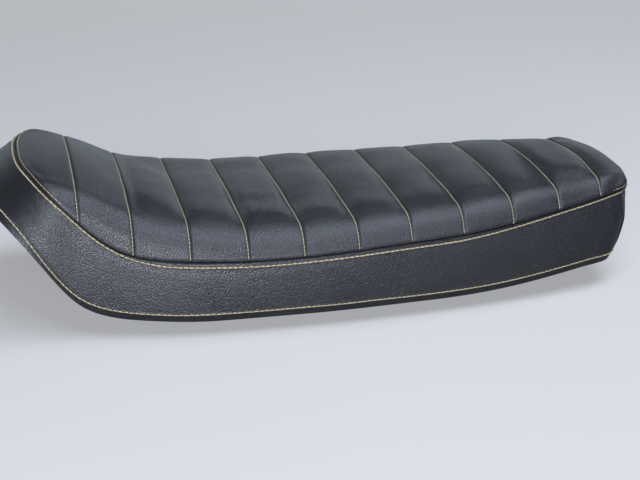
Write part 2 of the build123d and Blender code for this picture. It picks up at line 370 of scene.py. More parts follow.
# Places along the seat: close together beside each seam and at both ends
SEAM_STEPS = np.array([0.0, 0.35, 0.7, 1.05, 1.4, 1.9, 2.6, 3.6, 5.2, 7.6]) * MM


def places_between(low, high, step=TOP_STEP):
    """Places from one seam to the next, dense near both."""
    near, far = low + SEAM_STEPS, (high - SEAM_STEPS)[::-1]
    middle = np.linspace(near[-1], far[0], max(2, round((far[0] - near[-1]) / step)))[1:-1]
    return np.concatenate([near, middle, far[:-1]])


top_u = np.concatenate([places_between(a, b) for a, b in zip(bounds_knots, bounds_knots[1:])]
                       + [[bounds_knots[-1]]])


def across_places(length):
    """Distances across the top, dense beside both joins."""
    far = (length - SEAM_STEPS)[::-1]
    return np.concatenate([SEAM_STEPS[:-1], np.linspace(SEAM_STEPS[-1], far[0], TOP_MIDDLE), far[1:]])


def bowed(rows, places):
    """A grid read at places along the seat, ahead or behind those where the seams bow."""
    rows = np.array(rows)
    middle = (1 - np.linspace(-1, 1, rows.shape[1]) ** 2) ** 2
    bow = np.interp(places, bounds_knots, [0, *SEAM_BOWS, 0])
    return np.stack([cubic(top_knots, rows[:, j], places + bow * middle[j])
                     for j in range(rows.shape[1])], axis=1)


rows_fine = []
for row in top_rows:
    far = along(row)
    rows_fine.append(cubic(far, row, across_places(far[-1])))
top_grid = bowed(rows_fine, top_u)


def normals_of(grid, closed=False):
    """Unit normals of a grid of points, from its differences both ways."""
    if closed:
        along_first = np.roll(grid, -1, 0) - np.roll(grid, 1, 0)
    else:
        along_first = np.gradient(grid, axis=0)
    normal = np.cross(along_first, np.gradient(grid, axis=1))
    size = np.linalg.norm(normal, axis=2, keepdims=True)
    return normal / np.maximum(size, 1e-12)


def smooth_step(low, high, x):
    """0 before low, 1 past high and an even slope between."""
    t = np.clip((x - low) / (high - low), 0, 1)
    return t * t * (3 - 2 * t)


def bump_at(x, centre, width):
    """A round bump of height 1."""
    return np.exp(-(((x - centre) / width) ** 2))


def distance_to(line, grid):
    """Distance of each grid point to a line of points."""
    flat = grid.reshape(-1, 3)
    found = np.empty(len(flat))
    for start in range(0, len(flat), 2000):
        part = flat[start:start + 2000]
        found[start:start + 2000] = np.sqrt(((part[:, None] - line[None]) ** 2).sum(2)).min(1)
    return found.reshape(grid.shape[:2])


WAVE_OCTAVES = 2
WAVES_EACH = 9


def waves(grid, size, seed):
    """Soft seeded unevenness from -1 to 1: a sum of plane waves in random directions."""
    local = np.random.default_rng(seed)
    found = np.zeros(grid.shape[:2])
    for octave in range(WAVE_OCTAVES):
        for _ in range(WAVES_EACH):
            direction = local.normal(size=3)
            direction *= 2 * pi / size * (1.8**octave) / np.linalg.norm(direction)
            found += np.sin(grid @ direction + local.uniform(0, 2 * pi)) / (1.9**octave)
    return found / (3.2 * WAVE_OCTAVES)


def join_depth(grid):
    """Depth of the fold at the join, which is shallower round the hump."""
    return JOIN_DEPTH * (0.5 + 0.5 * smooth_step(-150 * MM, -105 * MM, grid[..., 0]))


join_line = ring_at(ring_join, np.linspace(0, ring_length, 1600, endpoint=False))
to_join = distance_to(join_line, top_grid)
to_join[[0, -1]] = 0
to_join[:, [0, -1]] = 0


def new_object(name, points, faces):
    """A smooth-shaded mesh object from points and faces."""
    mesh = bpy.data.meshes.new(name)
    mesh.from_pydata([tuple(p) for p in points], [], [tuple(f) for f in faces])
    mesh.update()
    mesh.polygons.foreach_set("use_smooth", [True] * len(mesh.polygons))
    thing = bpy.data.objects.new(name, mesh)
    bpy.context.scene.collection.objects.link(thing)
    return thing


def make_mesh(name, points, faces, material):
    """A piece of the seat with its material."""
    piece = new_object(name, points, faces)
    piece.data.materials.append(material)
    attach(piece, "root")
    return piece


def grid_faces(rows, columns, closed=False):
    """Quads of a grid of points, whose first axis may close on itself."""
    faces = []
    for i in range(rows if closed else rows - 1):
        after = (i + 1) % rows
        for j in range(columns - 1):
            faces.append((i * columns + j, after * columns + j,
                          after * columns + j + 1, i * columns + j + 1))
    return faces


def store(piece, name, values):
    """Keeps a number at each vertex for the materials."""
    attribute = piece.data.attributes.new(name, "FLOAT", "POINT")
    attribute.data.foreach_set("value", np.asarray(values, np.float32).ravel())


# Distance of each place along the top to the nearest seam, and to its fold
to_seam = np.min(np.abs(top_u[:, None] - seam_knots[None]), axis=1)
to_fold = np.min(np.abs(top_u[:, None] - NOTCH_SHIFT - seam_knots[None]), axis=1)

SIM_STEPS = 7                 # rows of the simulated cloth in each tuck
SWELL_LIMIT = 1.3             # a swell's upper bound, against most of the cloth
SWELL_ROUNDS = 14             # smoothing across the seat
LEAST_CROWN = 0.15            # a tuck that hardly swells is raised no more than this allows
sim_u = np.unique(np.concatenate([np.linspace(a, b, SIM_STEPS + 1)
                                  for a, b in zip(bounds_knots, bounds_knots[1:])]))
sim_grid = bowed(top_rows, sim_u)


def inflated(grid, held):
    """How far a cloth on the grid swells along its normals, held at its seams and its edge."""
    cloth = new_object("cloth", grid.reshape(-1, 3), grid_faces(*grid.shape[:2]))
    group = cloth.vertex_groups.new(name="held")
    group.add([int(i) for i in np.flatnonzero(held.ravel())], 1.0, "REPLACE")
    modifier = cloth.modifiers.new("cloth", "CLOTH")
    settings = modifier.settings
    settings.quality = 5
    settings.mass = 0.3
    settings.air_damping = 4
    settings.tension_stiffness = settings.compression_stiffness = 8
    settings.shear_stiffness = 4
    settings.bending_stiffness = 3
    settings.use_pressure = True
    settings.uniform_pressure_force = 3
    settings.vertex_group_mass = "held"
    settings.effector_weights.gravity = 0
    modifier.point_cache.frame_start, modifier.point_cache.frame_end = 1, CLOTH_FRAMES
    for step in range(1, CLOTH_FRAMES + 1):
        bpy.context.scene.frame_set(step)
    shape = cloth.evaluated_get(bpy.context.evaluated_depsgraph_get()).to_mesh()
    moved = np.empty(len(shape.vertices) * 3)
    shape.vertices.foreach_get("co", moved)
    bpy.context.scene.frame_set(1)
    bpy.data.objects.remove(cloth)
    return ((moved.reshape(grid.shape) - grid) * upward(normals_of(grid))).sum(2)


def upward(normals):
    """Normals turned so that they leave the seat's top."""
    middle = normals[normals.shape[0] // 2, normals.shape[1] // 2]
    return normals if middle[2] > 0 else -normals


sim_to_seam = np.min(np.abs(sim_u[:, None] - np.array(bounds_knots)[None]), axis=1)
held = (sim_to_seam < 1e-6)[:, None] | np.isin(np.arange(ACROSS), (0, ACROSS - 1))
swell = inflated(sim_grid, held)
swell = SWELL_LIMIT * np.tanh(swell / np.percentile(swell, 85) / SWELL_LIMIT)
for _ in range(SWELL_ROUNDS):
    swell[:, 1:-1] += 0.5 * ((swell[:, 2:] + swell[:, :-2]) / 2 - swell[:, 1:-1])
for low, high, rise in zip(bounds_knots, bounds_knots[1:], TUCK_HEIGHTS):
    tuck = (sim_u > low) & (sim_u < high)
    crown = np.percentile(swell[tuck][:, ACROSS // 2 - 5:ACROSS // 2 + 6], 95)
    swell[tuck] *= rise / max(crown, LEAST_CROWN)
swell_u = cubic(sim_u, swell, top_u)
share_across = [across_places(along(row)[-1]) / along(row)[-1] for row in top_grid]
swell_fine = np.array([cubic(np.linspace(0, 1, ACROSS), line, share)
                       for line, share in zip(swell_u, share_across)])

fade = smooth_step(0, 14 * MM, to_join)
fold = np.exp(-np.abs(to_fold / NOTCH_WIDTH) ** 1.5)[:, None]
sinks = np.interp(top_u, bounds_knots, [0, *SEAM_SINKS, 0])[:, None]
height = np.maximum(swell_fine, 0)
height -= sinks * smooth_step(40 * MM, 90 * MM, to_join)
height -= NOTCH_DEPTH * fold * (0.5 + 0.5 * smooth_step(1 * MM, 5 * MM, to_join))
height += JOIN_BEAD * bump_at(to_join, 3.5 * MM, 2.5 * MM)
height -= join_depth(top_grid) * np.clip(1 - to_join / JOIN_ROLL, 0, 1) ** 2
height += COVER_WAVE * waves(top_grid, 60 * MM, 3) * fade
pucker = bump_at(to_seam, 4 * MM, 3 * MM)[:, None]
height += PUCKER * waves(top_grid, 9 * MM, 5) * pucker

top_normals = upward(normals_of(top_grid))
top_points = top_grid + top_normals * height[..., None]

# Ring: band and front panel, dense beside the two corner seams
corner_right = join_place(CORNER_SEAM, -1)
corner_left = join_place(CORNER_SEAM, 1)
RING_STEP = 2.6 * MM
corners = sorted((corner_left, corner_right))
ring_places = np.concatenate([places_between(*corners, RING_STEP),
                              places_between(corners[1], corners[0] + ring_length, RING_STEP)])
BAND_MIDDLE = 20
BAND_LOW = np.array([0, 0.8, 1.8, 3.0, 4.4, 5.8, 6.6, 7.2, 7.7, 8.2, 8.8, 9.6, 11, 13]) * MM
BAND_HIGH = np.array([0, 0.3, 0.6, 0.9, 1.3, 1.8, 2.2, 2.6, 3.0, 3.5,
                      4.0, 4.4, 4.8, 5.2, 5.8, 6.6, 7.8, 9.6, 12]) * MM
band_rows = ring_at(band_net, ring_places)


def band_places(length):
    """Distances up the band, dense beside its lower stitches and its topstitch."""
    middle = np.linspace(BAND_LOW[-1], length - BAND_HIGH[-1], BAND_MIDDLE)[1:-1]
    return np.concatenate([BAND_LOW, middle, (length - BAND_HIGH)[::-1]])


band_grid, band_up, band_down = [], [], []
for row in band_rows:
    far = along(row)
    places = band_places(far[-1])
    band_grid.append(cubic(far, row, places))
    band_up.append(places)
    band_down.append(far[-1] - places)
band_grid, band_up, band_down = np.array(band_grid), np.array(band_up), np.array(band_down)
band_normals = normals_of(band_grid, closed=True)
if (band_normals[0, 20] @ np.array([0, -1, 0])) < 0:
    band_normals = -band_normals

welt = np.interp(band_grid[:, -1, 0], WELT_PLACES, WELT_WIDTHS)[:, None]
past_welt = band_down - welt
band_height = -join_depth(band_grid) * np.clip(1 - band_down / JOIN_ROLL, 0, 1) ** 2
welt_rise = smooth_step(0.3 * MM, 1.2 * MM, band_down) * smooth_step(1.0 * MM, -0.8 * MM, past_welt)
band_height += WELT_HEIGHT * welt_rise
band_height -= STITCH_DEPTH * bump_at(past_welt, 0, 0.75 * MM)
band_height += 0.30 * MM * smooth_step(8 * MM, 3 * MM, past_welt)
band_height -= STITCH_DEPTH * bump_at(band_up, LOWER_STITCH, 0.8 * MM)
off_edges = smooth_step(0, 18 * MM, band_down) * smooth_step(0, 14 * MM, band_up)
band_height += COVER_WAVE * waves(band_grid, 70 * MM, 11) * off_edges
stitch_phase = pi * ring_places[:, None] / WELT_THREAD.pitch
band_height += 0.07 * MM * np.sin(stitch_phase) * bump_at(band_down, 8.0 * MM, 2.5 * MM)
corner_distances = [np.abs(ring_places - c) for c in (*corners, corners[0] + ring_length)]
to_corner = np.min(corner_distances, axis=0)[:, None]
band_height -= CORNER_DEPTH * np.exp(-np.abs(to_corner / (1.1 * MM)) ** 1.4)
corner_rise = smooth_step(0.8 * MM, 2 * MM, to_corner) * smooth_step(6 * MM, 4 * MM, to_corner)
band_height += 0.35 * MM * corner_rise
band_points = band_grid + band_normals * band_height[..., None]


# Materials
def new_material(name, **values):
    """A material with a principled shader and its plain values set."""
    material = bpy.data.materials.new(name)
    material.use_nodes = True
    shader = material.node_tree.nodes["Principled BSDF"]
    for key, value in values.items():
        shader.inputs[key.replace("_", " ")].default_value = value
    return material


class Nodes:
    """Short ways to add nodes to a material's tree."""

    def __init__(self, material):
        self.tree = material.node_tree
        self.shader = self.tree.nodes["Principled BSDF"]
        place = self.add("ShaderNodeTexCoord")
        scale = self.add("ShaderNodeMapping")
        scale.inputs["Scale"].default_value = (1000, 1000, 1000)
        self.join(place.outputs["Object"], scale.inputs["Vector"])
        self.mm = scale.outputs["Vector"]

    def add(self, kind, **settings):
        node = self.tree.nodes.new(kind)
        for key, value in settings.items():
            setattr(node, key, value)
        return node

    def join(self, source, target):
        self.tree.links.new(source, target)

    def noise(self, size, detail=2.0, vector=None):
        """Noise whose blotches are about size millimetres."""
        node = self.add("ShaderNodeTexNoise")
        node.inputs["Scale"].default_value = 1 / size
        node.inputs["Detail"].default_value = detail
        self.join(vector or self.mm, node.inputs["Vector"])
        return node.outputs["Fac"]

    def cells(self, size, feature, vector):
        node = self.add("ShaderNodeTexVoronoi", feature=feature)
        node.inputs["Scale"].default_value = 1 / size
        self.join(vector, node.inputs["Vector"])
        return node.outputs["Distance"]

    def math(self, operation, first, second):
        node = self.add("ShaderNodeMath", operation=operation)
        for socket, value in zip(node.inputs, (first, second)):
            if isinstance(value, (int, float)):
                socket.default_value = value
            else:
                self.join(value, socket)
        return node.outputs[0]

    def span(self, value, low, high, to_low, to_high):
        node = self.add("ShaderNodeMapRange")
        for key, number in (("From Min", low), ("From Max", high), ("To Min", to_low), ("To Max", to_high)):
            node.inputs[key].default_value = number
        self.join(value, node.inputs["Value"])
        return node.outputs["Result"]

    def mix(self, share, first, second):
        node = self.add("ShaderNodeMix", data_type="RGBA")
        self.join(share, node.inputs["Factor"])
        for socket, colour in zip((node.inputs[6], node.inputs[7]), (first, second)):
            if isinstance(colour, tuple):
                socket.default_value = (*colour, 1)
            else:
                self.join(colour, socket)
        return node.outputs[2]

    def bump(self, height, distance, strength=1.0, normal=None):
        node = self.add("ShaderNodeBump")
        node.inputs["Distance"].default_value = distance
        node.inputs["Strength"].default_value = strength
        self.join(height, node.inputs["Height"])
        if normal:
            self.join(normal, node.inputs["Normal"])
        return node.outputs["Normal"]

    def warped(self, amount, size):
        """Millimetre coordinates pushed about by noise."""
        node = self.add("ShaderNodeTexNoise")
        node.inputs["Scale"].default_value = 1 / size
        self.join(self.mm, node.inputs["Vector"])
        scaled = self.add("ShaderNodeVectorMath", operation="SCALE")
        scaled.inputs["Scale"].default_value = amount
        self.join(node.outputs["Color"], scaled.inputs[0])
        moved = self.add("ShaderNodeVectorMath", operation="ADD")
        self.join(self.mm, moved.inputs[0])
        self.join(scaled.outputs[0], moved.inputs[1])
        return moved.outputs[0]

    def attribute(self, name):
        return self.add("ShaderNodeAttribute", attribute_name=name).outputs["Fac"]


def leather_material(name, dark, light, crease):
    """Black upholstery leather: pebble grain with painted shade in its valleys, fine creases, duller
    grooves with painted shade in them, and a soft sheen.
    """
    material = new_material(name, Specular_IOR_Level=0.62, Sheen_Weight=0.04, Sheen_Roughness=0.4)
    n = Nodes(material)
    grain_space = n.warped(1.3, 2.8)
    pebble = n.span(n.cells(1.8, "SMOOTH_F1", grain_space), 0.05, 0.75, 1.0, 0.0)
    valleys = n.span(n.cells(1.8, "DISTANCE_TO_EDGE", grain_space), 0.0, 0.16, 0.0, 1.0)
    grain = n.math("ADD", n.math("MULTIPLY", pebble, 0.5), n.math("MULTIPLY", valleys, 0.5))
    pores = n.noise(0.45, 2.0)
    creases = n.span(n.cells(6.5, "DISTANCE_TO_EDGE", n.warped(4.0, 7.0)), 0.0, 0.07, 0.0, 1.0)
    patches = n.noise(38, 3.0)
    groove_shade = n.attribute("groove_shade")

    colour = n.mix(n.span(patches, 0.35, 0.65, 0.0, 1.0), dark, light)
    # Painted shade: darker in the seam folds, the join and the stitch grooves, from the groove attribute
    shaded = n.mix(n.math("MULTIPLY", groove_shade, 0.6), colour, tuple(0.4 * c for c in dark))
    # Painted shade in the grain's valleys, which are darker than the pebbles' tops
    grain_shaded = n.mix(n.span(grain, 0.25, 0.95, 0.35, 0.0), shaded, tuple(0.55 * c for c in dark))
    n.join(grain_shaded, n.shader.inputs["Base Color"])

    rough = n.span(patches, 0.3, 0.7, 0.33, 0.40)
    rough = n.math("ADD", rough, n.math("MULTIPLY", n.math("SUBTRACT", 1.0, grain), 0.12))
    n.join(n.math("ADD", rough, n.math("MULTIPLY", groove_shade, 0.2)), n.shader.inputs["Roughness"])

    fine = n.math("ADD", grain, n.math("MULTIPLY", pores, 0.25))
    normal = n.bump(fine, 0.28 * MM)
    normal = n.bump(creases, 0.05 * MM, crease, normal)
    n.join(normal, n.shader.inputs["Normal"])
    return material


def thread_material():
    """Waxed cream thread, laid of three plies."""
    material = new_material("thread", Sheen_Weight=0.15)
    n = Nodes(material)
    turns = n.add("ShaderNodeUVMap", uv_map="thread")
    plies = n.add("ShaderNodeTexWave", wave_type="BANDS", bands_direction="DIAGONAL")
    plies.inputs["Scale"].default_value = 0.5
    n.join(turns.outputs["UV"], plies.inputs["Vector"])
    tone = n.span(n.noise(7, 2.0), 0.35, 0.65, 0.0, 1.0)
    colour = n.mix(tone, (0.35, 0.285, 0.145), (0.44, 0.375, 0.23))
    # Painted shade: the thread is darker in the valleys between its plies
    n.join(n.mix(n.span(plies.outputs["Fac"], 0.0, 0.35, 0.5, 0.0), colour, (0.17, 0.135, 0.06)),
           n.shader.inputs["Base Color"])
    n.join(n.span(n.noise(2.0), 0.3, 0.7, 0.5, 0.68), n.shader.inputs["Roughness"])
    n.join(n.bump(plies.outputs["Fac"], 0.08 * MM), n.shader.inputs["Normal"])
    return material


def paint_material(name, colour, rough, peel):
    """Sprayed black paint or powder: orange peel, dust and rubbed spots."""
    material = new_material(name, Coat_Weight=0.15, Coat_Roughness=0.2)
    n = Nodes(material)
    dust = n.span(n.noise(60, 6.0), 0.42, 0.8, 0.0, 0.14)
    scuffs = n.span(n.noise(3.2, 4.0), 0.69, 0.74, 0.0, 0.4)
    dusty = n.mix(dust, colour, (0.16, 0.15, 0.135))
    n.join(n.mix(scuffs, dusty, (0.09, 0.088, 0.085)), n.shader.inputs["Base Color"])
    n.join(n.math("ADD", n.span(n.noise(5, 3.0), 0.3, 0.7, rough - 0.06, rough + 0.08),
                  n.math("MULTIPLY", dust, 0.5)), n.shader.inputs["Roughness"])
    n.join(n.bump(n.noise(peel, 1.0), 0.05 * MM), n.shader.inputs["Normal"])
    return material


def metal_material(name, colour, rough):
    """Plated or drawn metal with a faint mottle, uneven roughness and a fine bump."""
    material = new_material(name, Metallic=1.0)
    n = Nodes(material)
    mottle = n.span(n.noise(2.5, 4.0), 0.3, 0.7, 0.0, 1.0)
    n.join(n.mix(mottle, colour, tuple(0.72 * c for c in colour)), n.shader.inputs["Base Color"])
    n.join(n.span(n.noise(1.2, 3.0), 0.3, 0.7, rough - 0.06, rough + 0.1), n.shader.inputs["Roughness"])
    n.join(n.bump(n.noise(0.6, 3.0), 0.02 * MM), n.shader.inputs["Normal"])
    return material


def rubber_material():
    material = new_material("rubber", Specular_IOR_Level=0.35)
    n = Nodes(material)
    bloom = n.span(n.noise(6, 4.0), 0.4, 0.7, 0.0, 0.5)
    n.join(n.mix(bloom, (0.018, 0.018, 0.018), (0.06, 0.06, 0.058)), n.shader.inputs["Base Color"])
    n.join(n.span(n.noise(1.5, 2.0), 0.3, 0.7, 0.62, 0.8), n.shader.inputs["Roughness"])
    n.join(n.bump(n.noise(0.8, 2.0), 0.05 * MM), n.shader.inputs["Normal"])
    return material


leather = leather_material("leather", (0.0085, 0.009, 0.0105), (0.012, 0.0125, 0.0145), 0.5)
edge_leather = leather_material("turned_leather", (0.020, 0.021, 0.024), (0.030, 0.031, 0.034), 1.0)
thread = thread_material()
pan_paint = paint_material("powder_coat", (0.022, 0.022, 0.024), 0.42, 1.6)
bracket_paint = paint_material("gloss_black", (0.014, 0.014, 0.015), 0.26, 2.4)
zinc = metal_material("zinc_plate", (0.62, 0.61, 0.56), 0.32)
aluminium = metal_material("aluminium", (0.78, 0.78, 0.79), 0.3)
rubber = rubber_material()

# Top cover
top_piece = make_mesh("pleated_cover", top_points.reshape(-1, 3),
                      grid_faces(*top_grid.shape[:2]), leather)
# Painted shade mask of the top: 1 in the seam folds and at the join, fading away from them
store(top_piece, "groove_shade", np.maximum(np.exp(-(to_fold[:, None] / (1.4 * MM)) ** 2),
                                      np.exp(-(to_join / (1.0 * MM)) ** 2)))
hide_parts("pleated_top", "foam_block")


# Band and front panel share the ring and part at the corner seams
# Painted shade mask of the ring: its join, its topstitch and lower stitch grooves and the corner seams
band_groove_shade = np.maximum.reduce([
    np.exp(-(band_down / (0.9 * MM)) ** 2),
    0.6 * bump_at(past_welt, 0, 1.0 * MM),
    0.6 * bump_at(band_up, LOWER_STITCH, 1.0 * MM),
    np.exp(-(to_corner / (1.5 * MM)) ** 2) * np.ones_like(band_down)])


def ring_piece(name, node, first, last):
    """Part of the ring between two distances along the join."""
    ahead = (ring_places - first + 1e-7) % ring_length
    order = np.argsort(ahead)
    order = order[ahead[order] <= (last - first) % ring_length + 2e-7]
    part = band_points[order]
    piece = make_mesh(name, part.reshape(-1, 3), grid_faces(*part.shape[:2]), leather)
    # Painted shade mask of this part of the ring
    store(piece, "groove_shade", band_groove_shade[order])
    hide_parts(node)
    return piece


ring_piece("band_cover", "side_band", corner_right, corner_left)
ring_piece("front_cover", "front_panel", corner_left, corner_right)


# Thread
STITCH_RINGS = np.array([-1.0, -0.9, -0.6, 0.0, 0.6, 0.9, 1.0])
STITCH_LIFT = np.array([-1.3, -0.45, 0.25, 0.45, 0.25, -0.45, -1.3])
STITCH_SIZE = np.array([0.45, 0.85, 1.0, 1.0, 1.0, 0.85, 0.45])
STITCH_SIDES = 8


def read_line(far, values, at):
    """Points or normals at distances along a line."""
    return np.stack([np.interp(at, far, values[:, i]) for i in range(3)], axis=-1)


def tube_faces(rings, sides, start=0):
    """Faces of a tube of rings of points, with its two end caps."""
    faces = []
    for low in range(start, start + (rings - 1) * sides, sides):
        for j in range(sides):
            after = (j + 1) % sides
            faces.append((low + j, low + after, low + sides + after, low + sides + j))
    last = start + (rings - 1) * sides
    faces.append(tuple(start + j for j in range(sides)))
    faces.append(tuple(last + j for j in reversed(range(sides))))
    return faces


def sew(name, lines, kind):
    """Rows of stitches along lines of points and outward normals, as one piece."""
    points, faces, turns = [], [], []
    around = np.linspace(0, 2 * pi, STITCH_SIDES, endpoint=False)
    for line, normals in lines:
        far = along(line)
        count = max(1, int(far[-1] / kind.pitch))
        spare = (far[-1] - count * kind.pitch) / 2
        for k in range(count):
            at = spare + (k + 0.5) * kind.pitch + STITCH_RINGS * kind.length / 2
            centre = read_line(far, line, at)
            normal = read_line(far, normals, at)
            normal /= np.linalg.norm(normal, axis=1, keepdims=True)
            run = np.gradient(centre, axis=0)
            run /= np.linalg.norm(run, axis=1, keepdims=True)
            side = np.cross(run, normal)
            slant = 0.10 * kind.radius * (-1) ** k
            centre = centre + normal * (STITCH_LIFT * kind.radius)[:, None] + side * slant
            size = (STITCH_SIZE * kind.radius)[:, None, None]
            ring = (centre[:, None] + size * (np.cos(around)[None, :, None] * normal[:, None]
                                              + np.sin(around)[None, :, None] * side[:, None]))
            start = len(points)
            points += [tuple(p) for p in ring.reshape(-1, 3)]
            turns += [(a / MM, b) for a in at for b in around]
            faces += tube_faces(len(STITCH_RINGS), STITCH_SIDES, start)
    piece = make_mesh(name, points, faces, thread)
    layer = piece.data.uv_layers.new(name="thread")
    loops = np.empty(len(piece.data.loops), int)
    piece.data.loops.foreach_get("vertex_index", loops)
    layer.data.foreach_set("uv", np.array(turns)[loops].ravel())
    return piece


def across_line(index):
    """A pleat seam from join to join, on the finished surface."""
    inside = to_join[index] > 0.5 * MM
    return top_points[index][inside], top_normals[index][inside]


seam_index = [int(np.argmin(np.abs(top_u - knot))) for knot in seam_knots]
sew("pleat_thread", [across_line(i) for i in seam_index], PLEAT_THREAD)


def band_line(distances, far, first, last):
    """A line along the ring, at a distance from its upper or lower edge, between two places."""
    ahead = (ring_places - first) % ring_length
    order = np.argsort(ahead)
    order = order[ahead[order] <= (last - first) % ring_length]
    line, normals = [], []
    for i in order:
        rise = np.argsort(distances[i])
        line.append([np.interp(far, distances[i][rise], band_points[i][rise, k]) for k in range(3)])
        normals.append([np.interp(far, distances[i][rise], band_normals[i][rise, k]) for k in range(3)])
    return np.array(line), np.array(normals)


CORNER_GAP = 0.8 * MM         # rows of stitches stop this far from the corner seams
stretches = ((corner_right + CORNER_GAP, corner_left - CORNER_GAP),
             (corner_left + CORNER_GAP, corner_right - CORNER_GAP))
sew("welt_thread", [band_line(past_welt, 0, *ends) for ends in stretches], WELT_THREAD)
sew("lower_thread", [band_line(band_up, LOWER_STITCH, *ends) for ends in stretches], LOWER_THREAD)


def upright_line(place):
    """A line down the ring beside a corner seam, from under the topstitch to over the lower one."""
    i = int(np.argmin(np.abs((ring_places - place + ring_length / 2) % ring_length - ring_length / 2)))
    inside = (band_down[i] > 1.5 * MM) & (band_up[i] > LOWER_STITCH - 2 * MM)
    return band_points[i][inside], band_normals[i][inside]


CORNER_LINE = 2.4 * MM        # from the corner seam to its stitches, on the front panel
sew("corner_thread", [upright_line(corner_right - CORNER_LINE), upright_line(corner_left + CORNER_LINE)],
    INNER_THREAD)

# Second row over the join, which shows at the hump and at the nose and lies in the fold between
top_tree = BVHTree.FromPolygons([Vector(p) for p in top_points.reshape(-1, 3)],
                                grid_faces(*top_grid.shape[:2]))


def over_join(first, last):
    """A line on the top beside the join, between two places along it."""
    places = np.arange(first, last, 2.5 * MM)
    edge = ring_at(ring_join, places)
    run = np.gradient(edge, axis=0)
    run /= np.linalg.norm(run, axis=1, keepdims=True)
    line, normals = [], []
    for point, ahead in zip(edge, run):
        inward = Vector((0, 0, 1)) - Vector(ahead) * ahead[2]
        _, normal, _, _ = top_tree.find_nearest(Vector(point) + inward.normalized() * INNER_LINE)
        slope = normal.cross(Vector(ahead))
        slope = slope if slope.dot(inward) > 0 else -slope
        place, normal, _, _ = top_tree.find_nearest(Vector(point) + slope.normalized() * INNER_LINE)
        line.append(list(place))
        normals.append(list(normal if normal.z > -0.2 else -normal))
    line = soften(np.array(line), 2, closed=False)
    normals = soften(np.array(normals), 2, closed=False)
    from_end = np.minimum(places - places[0], places[-1] - places)
    return line - normals * (1.4 * MM * smooth_step(22 * MM, 0, from_end))[:, None], normals


hump_first = join_place(SEAMS[0] - 4 * MM, -1)
hump_last = join_place(SEAMS[0] - 4 * MM, 1)
nose_first = join_place(SEAMS[-1] + 2 * MM, 1)
nose_last = join_place(SEAMS[-1] + 2 * MM, -1)
if nose_last < nose_first:
    nose_last += ring_length
sew("inner_thread", [over_join(hump_first, hump_last), over_join(nose_first, nose_last)], INNER_THREAD)


# Hem: the cover's edge, gathered where the outline turns
HEM_ROWS = 18
hem_places = np.linspace(0, ring_length, 900, endpoint=False)
hem_control = ring_at(hem_net, hem_places)
hem_grid = np.array([resample(row, HEM_ROWS) for row in hem_control])
hem_normals = normals_of(hem_grid, closed=True)
if hem_normals[0, HEM_ROWS // 2, 2] > 0:
    hem_normals = -hem_normals
plan = ring_at(ring_join, hem_places)[:, :2]
heading = np.unwrap(np.arctan2(*(np.roll(plan, -9, 0) - np.roll(plan, 9, 0)).T[::-1]))
turning = np.abs(np.gradient(heading))
turning = np.convolve(np.concatenate([turning[-12:], turning, turning[:12]]), np.ones(25) / 25, "valid")
gather = np.clip(turning / np.percentile(turning, 96), 0.08, 1.0)[:, None]
share = np.linspace(1, 0, HEM_ROWS)[None, :]
phase = 2 * pi * (hem_places / (7.5 * MM) + 0.9 * np.sin(hem_places / (31 * MM)))[:, None]
folds = np.clip(np.sin(phase + 1.2 * share), -0.2, 1)
hem_height = HEM_WAVE * gather * folds * smooth_step(0.05, 0.5, share)
hem_height += 0.15 * MM * waves(hem_grid, 20 * MM, 23)
hem_height[:, -1] = 0
hem_points = hem_grid + hem_normals * hem_height[..., None]
cut_edge = hem_points[:, :1] - hem_normals[:, :1] * 1.6 * MM
hem_points = np.concatenate([cut_edge, hem_points], axis=1)
hem_piece = make_mesh("turned_hem", hem_points.reshape(-1, 3),
                      grid_faces(*hem_points.shape[:2], closed=True), edge_leather)
store(hem_piece, "groove_shade", np.zeros(hem_points.shape[:2]))
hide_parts("hem")


# Rivets through the hem into the pan
def lathe(profile, steps):
    """Points and faces of a turned form about its own axis, from radius and height pairs."""
    angles = np.linspace(0, 2 * pi, steps, endpoint=False)
    points = [(r * cos(a), r * sin(a), h) for r, h in profile for a in angles]
    faces = [(i * steps + j, i * steps + (j + 1) % steps, (i + 1) * steps + (j + 1) % steps,
              (i + 1) * steps + j) for i in range(len(profile) - 1) for j in range(steps)]
    faces.append(tuple((len(profile) - 1) * steps + j for j in range(steps)))
    return np.array(points), faces


def facing(normal):
    """Rotation that turns +Z to a direction."""
    return np.array(Vector(normal).to_track_quat("Z", "Y").to_matrix())


RIVET = [(1.00, -0.25), (1.00, 0.02), (0.95, 0.10), (0.80, 0.19), (0.58, 0.26), (0.40, 0.29),
         (0.33, 0.28), (0.30, 0.18), (0.14, 0.17), (0.10, 0.22), (0.03, 0.24)]
rivet_form, rivet_faces = lathe([(r * RIVET_RADIUS, h * RIVET_RADIUS) for r, h in RIVET], 20)
rivet_pitch = ring_length / round(ring_length / RIVET_PITCH)


def rivet(place):
    """A rivet through the middle of the hem, at a distance along the ring."""
    i = int(np.argmin(np.abs(hem_places - place)))
    turned = rivet_form @ facing(hem_normals[i, HEM_ROWS // 2]).T
    return turned + hem_points[i, HEM_ROWS // 2 - 1], rivet_faces


def merged(forms):
    """Points and faces of several forms as one."""
    points, faces = [], []
    for more_points, more_faces in forms:
        faces += [tuple(len(points) + j for j in face) for face in more_faces]
        points += list(more_points)
    return points, faces


places = np.arange(0, ring_length - RIVET_PITCH / 2, rivet_pitch)
make_mesh("rivets", *merged(rivet(place) for place in places), aluminium)


# Welds that hold the bar and the tongue to the pan
WELD_RADIUS = 1.9 * MM
WELD_SIDES = 10
WELD_STEP = 0.5 * MM
RIPPLE_PITCH = 2.0 * MM


